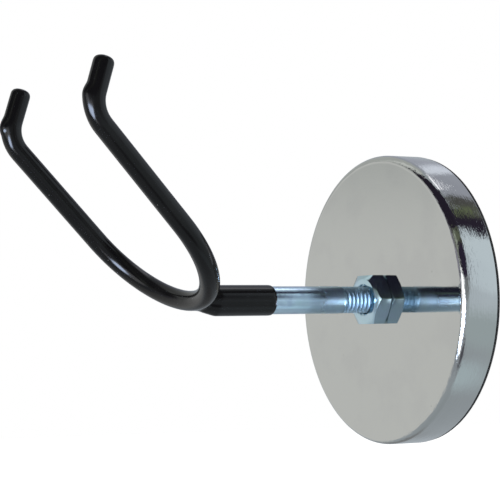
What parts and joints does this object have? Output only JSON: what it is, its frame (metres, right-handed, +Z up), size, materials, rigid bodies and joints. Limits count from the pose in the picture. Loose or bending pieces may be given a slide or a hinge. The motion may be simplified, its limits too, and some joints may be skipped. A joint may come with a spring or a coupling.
{
  "type": "magnetic tool holder",
  "caption": "Round pot magnet with a threaded stem, a lock nut and a coated two-prong hook that holds a hand tool on a steel wall.",
  "frame": {"origin": "centre of the magnetic face, on the outer plane of its pad", "axes": "+Y out of the magnetic face into the steel it holds on to, +Z up, +X to the right of someone who faces the hook's tips"},
  "size_m": [0.1016, 0.1422, 0.1248],
  "materials": {
    "chrome": "bright chrome, nearly a mirror",
    "rubber": "matt black rubber",
    "ferrite": "dark grey sintered ferrite",
    "resin": "dark potting resin",
    "zinc": "bright zinc plate on steel, bluish",
    "steel": "plain drawn steel",
    "vinyl": "glossy black dipped vinyl"
  },
  "bodies": {
    "magnet": {"magnet_cup": "chrome", "face_pad": "rubber", "ferrite_ring": "ferrite", "outer_resin": "resin", "inner_resin": "resin", "centre_boss": "steel"},
    "hook_arm": {"stem": "zinc", "hook_bar": "steel", "weld_bead": "steel", "hook_coating": "vinyl"},
    "nut": {"lock_nut": "zinc"}
  },
  "joints": [
    {"name": "arm_turn", "type": "hinge", "parent": "magnet", "child": "hook_arm", "pos_m": [0, -0.015, 0], "axis": [0, 1, 0], "range_deg": [-180, 180]},
    {"name": "nut_travel", "type": "slide", "parent": "hook_arm", "child": "nut", "axis": [0, -1, 0], "range_m": [0, 0.0084]}
  ]
}
